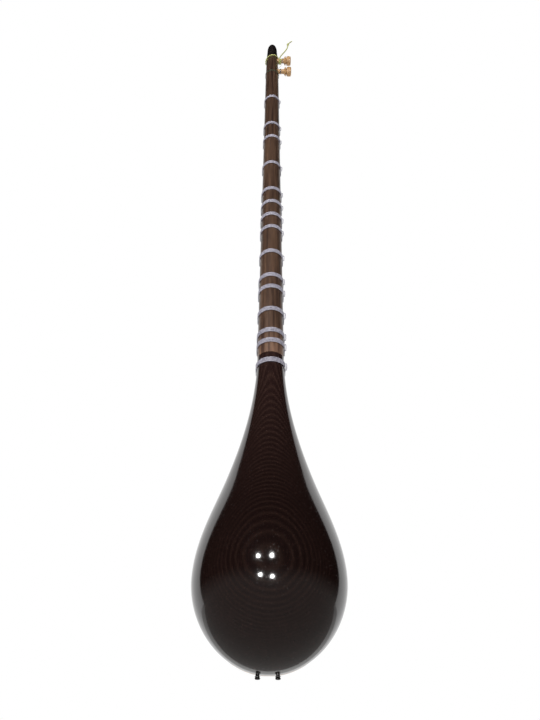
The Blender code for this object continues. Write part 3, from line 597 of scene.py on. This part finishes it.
def soundboard():
    side = []
    for z in bowl_heights(60, 40):
        half_width, _, fullness = bowl_size(z)
        side.append((rim_half_width(half_width, fullness), z))
    outline = side + [(-x, z) for x, z in reversed(side)]
    rings = [[(x, y, z) for x, z in outline] for y in (0.0, BOARD_THICKNESS)]
    plate = loft("soundboard_plate", rings, MULBERRY)
    spots = [(0.0, TAIL_Z + BOARD_HOLES_ABOVE_TAIL)]
    for step in range(6):
        angle = math.pi * step / 3
        spots.append((BOARD_HOLE_RING * math.cos(angle),
                      spots[0][1] + BOARD_HOLE_RING * math.sin(angle)))
    shape = bmesh.new()
    for x, z in spots:
        place = Matrix.Translation((x, 0.0, z)) @ Matrix.Rotation(math.pi / 2, 4, "X")
        bmesh.ops.create_cone(shape, cap_ends=True, segments=32, radius1=BOARD_HOLE_DIAMETER / 2,
                              radius2=BOARD_HOLE_DIAMETER / 2, depth=HOLE_CUTTER_LENGTH,
                              matrix=place)
    cuts = bpy.data.meshes.new("sound_holes")
    shape.to_mesh(cuts)
    shape.free()
    cutter = add_piece("sound_holes", cuts, None)
    change = plate.modifiers.new("holes", "BOOLEAN")
    change.operation = "DIFFERENCE"
    change.solver = "EXACT"
    change.object = cutter
    bpy.context.view_layer.update()
    depsgraph = bpy.context.evaluated_depsgraph_get()
    mesh = bpy.data.meshes.new_from_object(plate.evaluated_get(depsgraph))
    bpy.data.objects.remove(cutter, do_unlink=True)
    bpy.data.objects.remove(plate, do_unlink=True)
    return add_piece("soundboard_plate", mesh, MULBERRY)


board = dress(soundboard(), "mulberry", "instrument", "soundboard")
print("soundboard faces:", len(board.data.polygons))

# %% [markdown]
# The neck is one walnut stick up to the black cap. The cap goes on in the same line and closes in
# a dome: its last rings shrink towards the tip as a quarter circle does.

# %% Neck and head cap
NECK_STEPS = 30
DOME_STEPS = 14
DOME_STEP_ANGLE = math.radians(6.1)

neck_levels = [JOINT_Z]
neck_levels += [between(step / NECK_STEPS, JOINT_Z, NUT_Z) for step in range(1, NECK_STEPS + 1)]
neck_levels += [CAP_BASE_Z]
neck = dress(loft("neck_and_head", [neck_ring(z, *neck_size(z)) for z in neck_levels], WALNUT),
             "walnut", "instrument", "neck")
cap_rings = []
for share in (0.0, 0.5, 1.0):
    level = CAP_BASE_Z + SEAM + share * (CAP_TAPER_LENGTH - SEAM)
    cap_rings.append(neck_ring(level, between(share, CAP_BASE_HALF_WIDTH, CAP_DOME_HALF_WIDTH),
                               between(share, CAP_BASE_DEPTH, CAP_DOME_DEPTH)))
dome_base = cap_rings[-1]
for step in range(1, DOME_STEPS + 1):
    angle = step * DOME_STEP_ANGLE
    shrink = math.cos(angle)
    level = CAP_BASE_Z + CAP_TAPER_LENGTH + CAP_DOME_LENGTH * math.sin(angle)
    cap_rings.append([(x * shrink, between(shrink, CAP_TIP_BEHIND_FRONT, y), level)
                      for x, y, _ in dome_base])
cap = dress(loft("black_head_cap", cap_rings, BLACK_WOOD), "black_cap", "instrument", "head_cap")
print("neck and cap faces:", len(neck.data.polygons), len(cap.data.polygons))

# %% [markdown]
# Pegs and tail pins are turned on a lathe, so each is a profile spun round its axis. A profile
# point is a radius and a distance along the axis. A small bevel softens the cut edges, which
# would otherwise be too sharp for wood.

# %% Pegs and tail pins
UPPER_PEG_ABOVE_NUT = 0.0605
LOWER_PEG_ABOVE_NUT = 0.0160
PEG_BEHIND_FRONT = 0.0095
PEG_SHAFT = 0.00425
PEG_BARE_REACH = 0.0235
PEG_END = PEG_BARE_REACH + 0.0143
PEG_KNOB = 0.00875
PEG_GROOVE = 0.0056
PEG_PROFILE = ((PEG_KNOB * 0.30, PEG_END), (PEG_KNOB * 0.80, PEG_END - 0.0002),
               (PEG_KNOB * 0.97, PEG_END - 0.0014), (PEG_KNOB, PEG_END - 0.0048),
               (PEG_KNOB * 0.96, PEG_END - 0.0080), (PEG_KNOB * 0.86, PEG_END - 0.0088),
               (PEG_GROOVE, PEG_END - 0.0090), (PEG_GROOVE, PEG_END - 0.0102),
               (PEG_KNOB * 0.86, PEG_END - 0.0104), (PEG_KNOB * 0.96, PEG_END - 0.0112),
               (PEG_KNOB * 0.90, PEG_END - 0.0122), (PEG_SHAFT * 1.15, PEG_BARE_REACH + 0.0002),
               (PEG_SHAFT, PEG_BARE_REACH - 0.0008), (PEG_SHAFT, -0.008))


def soften(piece, width=0.0003):
    bevel = piece.modifiers.new("soft_edges", "BEVEL")
    bevel.width = width
    bevel.segments = 3
    bevel.angle_limit = math.radians(28)


def turned(name, profile, centre, along, material, steps=64):
    """A profile of (radius, distance) spun round an axis from centre in direction along."""
    along = Vector(along)
    side = Vector((0.0, 1.0, 0.0))
    other = along.cross(side)
    rings = []
    for radius, distance in profile:
        rings.append([tuple(Vector(centre) + along * distance
                            + side * radius * math.cos(2 * math.pi * step / steps)
                            + other * radius * math.sin(2 * math.pi * step / steps))
                      for step in range(steps)])
    piece = loft(name, rings, material)
    soften(piece)
    return piece


for label, above_nut in (("upper", UPPER_PEG_ABOVE_NUT), ("lower", LOWER_PEG_ABOVE_NUT)):
    centre = (0.0, PEG_BEHIND_FRONT, NUT_Z + above_nut)
    peg = turned("turned_peg_" + label, PEG_PROFILE, centre, (-1.0, 0.0, 0.0), BOXWOOD)
    dress(peg, "boxwood", label + "_peg", "peg_" + label)
print("pegs stick out, mm:", round((PEG_END - CAP_BASE_HALF_WIDTH) * 1000, 1))

PIN_SHANK = 0.0017
PIN_HEAD = 0.0023
PIN_OUT = 0.0032
PIN_BEHIND_FRONT = 0.0078
PIN_PROFILE = ((PIN_HEAD * 0.3, PIN_OUT), (PIN_HEAD * 0.7, PIN_OUT - 0.0001),
               (PIN_HEAD, PIN_OUT - 0.0006), (PIN_HEAD, PIN_OUT - 0.0013),
               (PIN_SHANK, PIN_OUT - 0.0019), (PIN_SHANK, -0.010))
PIN_PLACES = {"treble": 0.0095, "bass": -0.0075}
for label, x in PIN_PLACES.items():
    pin = turned("turned_tail_pin_" + label, PIN_PROFILE, (x, PIN_BEHIND_FRONT, TAIL_Z),
                 (0.0, 0.0, -1.0), BLACK_WOOD, 32)
    dress(pin, "black_pin", "instrument", "tail_pin_" + label)
print("tail pins at x, mm:", [round(x * 1000, 1) for x in PIN_PLACES.values()])

# %% [markdown]
# A tied fret is four turns of line round the neck, with its knot on the peg side. The path goes
# round the section of the neck at a set distance, and steps down a little with every point, as
# tied line does. Its start is tucked in above, and its end stands up beside the turns as the
# knot. The places follow the semitone rule: each twelve semitones halve the sounding length.

# %% Tied frets
FRET_SEMITONES = (2, 4, 5, 7, 9, 10, 11, 12, 14, 16, 17, 19, 21, 22, 24)
FRET_LINE_DIAMETER = 0.00115
FRET_TURNS = 4
FRET_PITCH = 0.00165
FRET_TRAVEL = 0.0035
FRET_TRAVEL_ON_COLLAR = 0.001
FRET_KNOT_LIFT = 0.0018
LOOP_ARC_STEPS = 24


def outer_size(z):
    if z >= JOINT_Z:
        half_width, depth = neck_size(z)
        return half_width, depth, NECK_SHOULDER * depth
    half_width, depth, fullness = bowl_size(z)
    return half_width, depth, bowl_shoulder(depth, fullness)


def loop_outline(z, reach):
    """The path round the neck's section at height z, with its line's middle at that reach."""
    half_width, depth, shoulder = outer_size(z)
    back = round_back(half_width + reach, depth + reach, shoulder, LOOP_ARC_STEPS)
    chamfer = front_chamfer(z)
    mitre = reach * math.tan(math.pi / 8)
    front = [(half_width + reach, chamfer - mitre), (half_width - chamfer + mitre, -reach)]
    return list(reversed(back)) + front + [(-x, y) for x, y in reversed(front)]


def fret_points(z):
    half_band = (FRET_TURNS - 1) * FRET_PITCH / 2
    down = FRET_TRAVEL if z > JOINT_Z else FRET_TRAVEL_ON_COLLAR
    outline = loop_outline(z - half_band - down, GAP + FRET_LINE_DIAMETER / 2)
    count = len(outline)
    side_x, side_y = outline[0]
    points = [(side_x, side_y - 0.0040, half_band + FRET_PITCH + 0.0012)]
    for index in range(FRET_TURNS * count + 1):
        x, y = outline[index % count]
        points.append((x, y, half_band + FRET_PITCH / 2 - index * FRET_PITCH / count))
    out = side_x - FRET_KNOT_LIFT
    low = -half_band - FRET_PITCH / 2
    points += [(out + 0.0003, side_y + 0.0016, low - 0.0009), (out, side_y + 0.0022, low + 0.0014),
               (out, side_y + 0.0022, half_band + 0.0006),
               (out + 0.0008, side_y + 0.0016, half_band + 0.0026)]
    return [(x, y, z + above) for x, y, above in points]


for number, semitones in enumerate(FRET_SEMITONES, start=1):
    z = NUT_Z - SCALE_LENGTH * (1.0 - 2.0 ** (-semitones / 12))
    node = "fret_%02d" % number
    band = line_piece("tied_" + node, fret_points(z), FRET_LINE_DIAMETER, NYLON)
    dress(band, "nylon", node + "_band", node)
print("frets tied:", len(FRET_SEMITONES))

# %% [markdown]
# Each string goes from its tail pin over the bridge and the nut, round the head's edge to its
# peg. Its last turns on the peg are a piece of their own, a helix, because they turn with the
# peg while the stretched part stays. The stretched part repeats the places of its solid.

# %% Strings and their turns on the pegs
STRING_DIAMETERS = {"treble": 0.00045, "bass": 0.00055}
STRING_AT_BRIDGE = {"treble": 0.008, "bass": -0.008}
STRING_AT_NUT = 0.0045
NUT_HEIGHT = 0.0020
NUT_THICKNESS = 0.004
BRIDGE_HEIGHT = 0.0105
TREBLE_EDGE_BELOW_PEG = 0.0195
BASS_EDGE_BELOW_PEG = 0.0040
PIN_LOOP_ABOVE_TIP = 0.0020
PIN_LOOP_STEPS = 32
PIN_LOOP_RISE = 0.00002
TIE_FRONT_ABOVE_NUT = 0.0080
STRING_UNDER_TIE = 0.0012
HITCH_FROM_HEAD = 0.0020
HITCH_TURNS = 1.5
HITCH_PITCH = 0.0027
HELIX_STEPS = 32
WINDING_PITCH = 0.00098


def head_side(above_nut):
    return neck_size(NUT_Z + above_nut)[0]


def winding_radius(label):
    return PEG_SHAFT + GAP + STRING_DIAMETERS[label] / 2


def winding_start(label):
    if label == "treble":
        hitch_end = head_side(UPPER_PEG_ABOVE_NUT) + HITCH_FROM_HEAD + HITCH_TURNS * HITCH_PITCH
        return hitch_end + CORD_DIAMETER / 2 + 2 * GAP + 3 * STRING_DIAMETERS[label]
    return head_side(LOWER_PEG_ABOVE_NUT) + 6 * STRING_DIAMETERS[label]


def helix(centre, radius, start, turns, pitch, start_angle):
    """Turns round a peg, from the distance start outwards along -X."""
    points = []
    for index in range(int(turns * HELIX_STEPS) + 1):
        angle = start_angle + 2 * math.pi * index / HELIX_STEPS
        points.append((-start - pitch * index / HELIX_STEPS, centre[1] + radius * math.cos(angle),
                       centre[2] + radius * math.sin(angle)))
    return points


for label, peg_name, above_nut, turns in (("treble", "upper", UPPER_PEG_ABOVE_NUT, 2),
                                          ("bass", "lower", LOWER_PEG_ABOVE_NUT, 3)):
    centre = (0.0, PEG_BEHIND_FRONT, NUT_Z + above_nut)
    coil = helix(centre, winding_radius(label), winding_start(label), turns, WINDING_PITCH, math.pi)
    piece = line_piece("string_turns_" + peg_name, coil, STRING_DIAMETERS[label], STEEL)
    dress(piece, "steel", peg_name + "_peg", "winding_" + peg_name)


def pin_loop(x, diameter):
    """An open loop round a tail pin, which ends at the pin's front."""
    radius = PIN_SHANK + GAP + diameter / 2
    points = []
    for step in range(PIN_LOOP_STEPS + 1):
        angle = -math.pi / 2 + 1.6 * math.pi * step / PIN_LOOP_STEPS
        z = TAIL_Z - PIN_OUT + PIN_LOOP_ABOVE_TIP + step * PIN_LOOP_RISE
        points.append((x + radius * math.cos(angle), PIN_BEHIND_FRONT + radius * math.sin(angle),
                       z))
    return list(reversed(points))


def peg_end(label, above_nut):
    reach = winding_start(label) - 2.5 * STRING_DIAMETERS[label]
    return reach, PEG_BEHIND_FRONT - winding_radius(label)


def head_route(label):
    """The string's way from the thread to its peg: its last number is a height above the nut."""
    if label == "bass":
        over_edge = LOWER_PEG_ABOVE_NUT - BASS_EDGE_BELOW_PEG
        side = head_side(over_edge)
        reach, peg_front = peg_end(label, LOWER_PEG_ABOVE_NUT)
        return [(-0.0050, -STRING_UNDER_TIE, TIE_FRONT_ABOVE_NUT),
                (-side - 0.0003, -0.0009, over_edge),
                (-side - 0.0011, 0.0009, over_edge + 0.0015),
                (-reach, peg_front, LOWER_PEG_ABOVE_NUT)]
    over_edge = UPPER_PEG_ABOVE_NUT - TREBLE_EDGE_BELOW_PEG
    side = head_side(over_edge)
    chamfer = front_chamfer(NUT_Z + over_edge)
    reach, peg_front = peg_end(label, UPPER_PEG_ABOVE_NUT)
    return [(0.0044, -STRING_UNDER_TIE, TIE_FRONT_ABOVE_NUT),
            (chamfer - side, -0.0009, over_edge),
            (-side - 0.0009, chamfer - 0.0004, over_edge + 0.0022),
            (-reach, peg_front - 0.0006, UPPER_PEG_ABOVE_NUT - 0.0050),
            (-reach, peg_front, UPPER_PEG_ABOVE_NUT)]


for label, at_bridge in STRING_AT_BRIDGE.items():
    diameter = STRING_DIAMETERS[label]
    at_nut = math.copysign(STRING_AT_NUT, at_bridge)
    over_nut = -NUT_HEIGHT - GAP - diameter / 2
    edge = -GAP - diameter / 2
    x = PIN_PLACES[label]
    points = pin_loop(x, diameter) + [
        (x, edge + 0.0006, TAIL_Z - 0.0016), (x, edge - 0.0006, TAIL_Z + 0.0004),
        (at_bridge, -GAP - BRIDGE_HEIGHT, BRIDGE_Z), (at_nut, over_nut, NUT_Z),
        (at_nut, over_nut, NUT_Z + NUT_THICKNESS)]
    points += [(px, py, NUT_Z + above) for px, py, above in head_route(label)]
    piece = line_piece("stretched_string_" + label, points, diameter, STEEL)
    dress(piece, "steel", "instrument", "string_" + label)
    print("stretched", label, "string, mm:", round(path_length(points) * 1000))

# %% [markdown]
# A thin thread goes twice round the head behind the nut and holds the strings down. The hanging
# cord goes round the head just below the cap, tilted towards the peg, and ends in turns round the
# peg's shaft. Both reuse the path round the neck that the frets follow.

# %% Thread behind the nut, and the cord round the head
TIE_DIAMETER = 0.0007
TIE_TURNS = 2
TIE_PITCH = 0.0012
TIE_BACK_ABOVE_NUT = -0.0012
TIE_HALF_SPAN = 0.0067
CORD_TILT = 0.0035
HITCH_START_ANGLE = math.radians(150)

tie_outline = loop_outline(NUT_Z, GAP + TIE_DIAMETER / 2)
tie_front = -STRING_UNDER_TIE - STRING_DIAMETERS["bass"] / 2 - GAP - TIE_DIAMETER / 2
over_strings = [(TIE_HALF_SPAN, tie_front), (-TIE_HALF_SPAN, tie_front)]
tie_outline = tie_outline[:-2] + over_strings + tie_outline[-2:]
tie_points = []
for index in range(TIE_TURNS * len(tie_outline) + 1):
    x, y = tie_outline[index % len(tie_outline)]
    share = min(1.0, max(0.0, y / NUT_DEPTH))
    z = NUT_Z + between(share, TIE_FRONT_ABOVE_NUT, TIE_BACK_ABOVE_NUT)
    tie_points.append((x, y, z + TIE_PITCH * (0.5 * TIE_TURNS - index / len(tie_outline))))
dress(line_piece("string_tie", tie_points, TIE_DIAMETER, THREAD), "thread", "instrument", "nut_tie")

cord_outline = loop_outline(0.0, GAP + CORD_DIAMETER / 2)
ring = [(x, y, -x * CORD_TILT / NUT_HALF_WIDTH) for x, y in cord_outline]
ring_start = (ring[0][0], ring[0][1] + 0.0030, ring[0][2] + 0.0002)
ring_end = (cord_outline[0][0] - 0.0004, 0.0040, CORD_TILT + 0.0003)
peg_centre = (0.0, PEG_BEHIND_FRONT, NUT_Z + UPPER_PEG_ABOVE_NUT)
hitch = helix(peg_centre, PEG_SHAFT + 0.0002 + GAP + CORD_DIAMETER / 2,
              head_side(UPPER_PEG_ABOVE_NUT) + HITCH_FROM_HEAD, HITCH_TURNS, HITCH_PITCH,
              HITCH_START_ANGLE)
ring_points = [ring_start] + ring[3:] + [ring_end] + hitch
cord_ring = line_piece("cord_round_head", ring_points, CORD_DIAMETER, CORD, 12)
dress(cord_ring, "yellow_cord", "instrument", "hanging_cord")
print("thread and cord, mm:", [round(path_length(p) * 1000) for p in (tie_points, ring_points)])

# %% [markdown]
# The nut and the bridge are small plain shapes on the playing side. Their solids already have all
# the detail they need, so they only get a finish: bone for the nut and dark wood for the bridge.

# %% Nut and bridge
for node, material in (("nut", BONE), ("bridge", BRIDGE_WOOD)):
    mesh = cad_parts[node].data
    mesh.materials.clear()
    mesh.materials.append(material)
    print(node, "faces:", len(mesh.polygons))

# %% [markdown]
# The background is white, but white light from all sides would wash the dark wood out. So the
# world is at full strength only for rays that show it directly or in a gloss or glass, and softer
# for the rest. The floor is pale and keeps the object's shadow.

# %% World and floor
FLOOR_Z = -1.75
FLOOR_HALF_WIDTH = 3
WORLD_LIGHT = 0.55
WORLD_SEEN = 1.0


def white_for_direct_rays(tree, low, high):
    """A background of strength high for camera, glossy and transmission rays, low for others."""
    nodes, links = tree.nodes, tree.links
    rays = nodes.new("ShaderNodeLightPath")
    total = rays.outputs["Is Camera Ray"]
    for name in ("Is Glossy Ray", "Is Transmission Ray"):
        pick = nodes.new("ShaderNodeMath")
        pick.operation = "MAXIMUM"
        links.new(total, pick.inputs[0])
        links.new(rays.outputs[name], pick.inputs[1])
        total = pick.outputs[0]
    strength = nodes.new("ShaderNodeMapRange")
    strength.inputs[3].default_value = low
    strength.inputs[4].default_value = high
    links.new(total, strength.inputs[0])
    links.new(strength.outputs[0], nodes["Background"].inputs["Strength"])


world = bpy.data.worlds.new("studio")
world.use_nodes = True
world.node_tree.nodes["Background"].inputs["Color"].default_value = (1.0, 1.0, 1.0, 1.0)
white_for_direct_rays(world.node_tree, WORLD_LIGHT, WORLD_SEEN)
bpy.context.scene.world = world


def plane(name, corners, material):
    mesh = bpy.data.meshes.new(name)
    mesh.from_pydata(corners, [], [tuple(range(len(corners)))])
    piece = add_piece(name, mesh, material)
    return piece


floor_material, floor_shader = new_material("pale_floor", 0.8)
floor_shader.inputs["Base Color"].default_value = (0.82, 0.82, 0.81, 1.0)
plane("floor", [(x * FLOOR_HALF_WIDTH, y * FLOOR_HALF_WIDTH, FLOOR_Z)
                for x, y in ((-1, -1), (1, -1), (1, 1), (-1, 1))], floor_material)
print("world strength, for other rays and seen:", WORLD_LIGHT, WORLD_SEEN)

# %% [markdown]
# Dark lacquer shows what stands round it, so in a white room it would look grey. A photographer
# sets dark cards where the lacquer mirrors them. Here they are three walls, a ceiling and a floor,
# open at the playing side, and only glossy rays meet them. They glow a little towards the floor,
# and the white world past their open side gives the bowl its pale rims.

# %% Dark cards
CARD_HALF_WIDTH = 2.6
CARD_BACK = 1.6
CARD_FRONT = -1.6
CARD_TOP = 5.0
CARD_ABOVE_FLOOR = 0.01
CARD_GLOW = 0.22
CARD_GLOW_TOP = -0.9
card_material, card_shader = new_material("dark_card", 0.9)
card_shader.inputs["Base Color"].default_value = (0.0, 0.0, 0.0, 1.0)
card_shader.inputs["Specular IOR Level"].default_value = 0.0
card_shader.inputs["Emission Color"].default_value = (1.0, 0.98, 0.95, 1.0)
glow = ranged(card_material, object_axis(card_material, 2), FLOOR_Z, CARD_GLOW_TOP, CARD_GLOW, 0.0)
join(card_material, glow, card_shader.inputs["Emission Strength"])
corners = ((-CARD_HALF_WIDTH, CARD_FRONT), (-CARD_HALF_WIDTH, CARD_BACK),
           (CARD_HALF_WIDTH, CARD_BACK), (CARD_HALF_WIDTH, CARD_FRONT))
card_shapes = [[(x1, y1, FLOOR_Z), (x2, y2, FLOOR_Z), (x2, y2, CARD_TOP), (x1, y1, CARD_TOP)]
               for (x1, y1), (x2, y2) in zip(corners, corners[1:])]
for level in (CARD_TOP, FLOOR_Z + CARD_ABOVE_FLOOR):
    card_shapes.append([(x, y, level) for x, y in corners])
for index, shape_corners in enumerate(card_shapes, start=1):
    card = plane("dark_card_%d" % index, shape_corners, card_material)
    card.visible_camera = False
    card.visible_diffuse = False
    card.visible_transmission = False
    card.visible_shadow = False
print("dark cards:", len(card_shapes))

# %% [markdown]
# Two large soft lamps light the wood and don't show in the gloss. Four small ones behind the
# instrument do show in it, as the lacquer's highlights. The camera sees none of them.

# %% Lamps
OBJECT_MIDDLE = (0.0, 0.0, -0.6)
BOWL_MIDDLE = (0.0, 0.10, -1.0)
SOFT_LAMP_SIZE = 1.2
HIGHLIGHT_SIZE = 0.11
HIGHLIGHT_POWER = 3.6
HIGHLIGHT_BEHIND = 1.20
HIGHLIGHT_PLACES = ((0.36, -0.66), (-0.07, -0.66), (0.29, -1.30), (-0.09, -1.36))


def lamp(name, place, target, size, power, in_gloss):
    data = bpy.data.lights.new(name, "AREA")
    data.shape = "DISK"
    data.size = size
    data.energy = power
    light = bpy.data.objects.new(name, data)
    light.location = place
    light.rotation_euler = (Vector(target) - Vector(place)).to_track_quat("-Z", "Y").to_euler()
    light.visible_glossy = in_gloss
    light.visible_camera = False
    bpy.context.scene.collection.objects.link(light)


lamp("soft_key", (0.9, 1.6, 0.2), OBJECT_MIDDLE, SOFT_LAMP_SIZE, 28.0, False)
lamp("soft_fill", (-1.2, -1.4, 0.1), OBJECT_MIDDLE, SOFT_LAMP_SIZE, 22.0, False)
for index, (x, z) in enumerate(HIGHLIGHT_PLACES, start=1):
    lamp("highlight_%d" % index, (x, HIGHLIGHT_BEHIND, z), BOWL_MIDDLE,
         HIGHLIGHT_SIZE, HIGHLIGHT_POWER, True)
bpy.context.scene.view_settings.view_transform = "Standard"
print("lamps:", len(bpy.data.lights))
